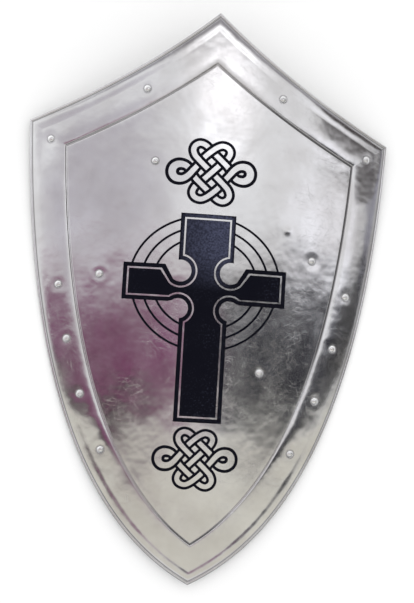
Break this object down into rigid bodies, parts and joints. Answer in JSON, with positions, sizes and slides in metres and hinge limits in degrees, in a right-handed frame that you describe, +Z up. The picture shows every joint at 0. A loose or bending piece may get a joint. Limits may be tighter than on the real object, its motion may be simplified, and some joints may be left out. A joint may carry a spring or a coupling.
{
  "type": "knight shield",
  "caption": "Heater shield of polished sheet steel, gently bent, with a rolled rim, a grooved border, an etched ringed cross and interlace knots, domed rivets and leather back straps.",
  "frame": {"origin": "on the floor below the middle of the shield, which lies face up", "axes": "+Y towards the peak, +X to the right of someone who looks at the face, +Z up, out of the face"},
  "size_m": [0.4628, 0.7086, 0.0695],
  "materials": {
    "polished_steel": "polished sheet steel with fine scratches, etched parts filled with black",
    "rivet_steel": "polished steel",
    "strap_leather": "dark brown strap leather"
  },
  "bodies": {
    "root": {"shield_plate": "polished_steel", "strap_arm": "strap_leather", "strap_grip": "strap_leather", "rivet_top_left": "rivet_steel", "rivet_top_right": "rivet_steel", "rivet_corner_left": "rivet_steel", "rivet_corner_right": "rivet_steel", "rivet_side_left_1": "rivet_steel", "rivet_side_left_2": "rivet_steel", "rivet_side_left_3": "rivet_steel", "rivet_side_left_4": "rivet_steel", "rivet_side_right_1": "rivet_steel", "rivet_side_right_2": "rivet_steel", "rivet_side_right_3": "rivet_steel", "rivet_side_right_4": "rivet_steel", "rivet_arm_upper": "rivet_steel", "rivet_arm_lower": "rivet_steel", "rivet_grip_upper": "rivet_steel", "rivet_grip_lower": "rivet_steel"}
  },
  "joints": []
}
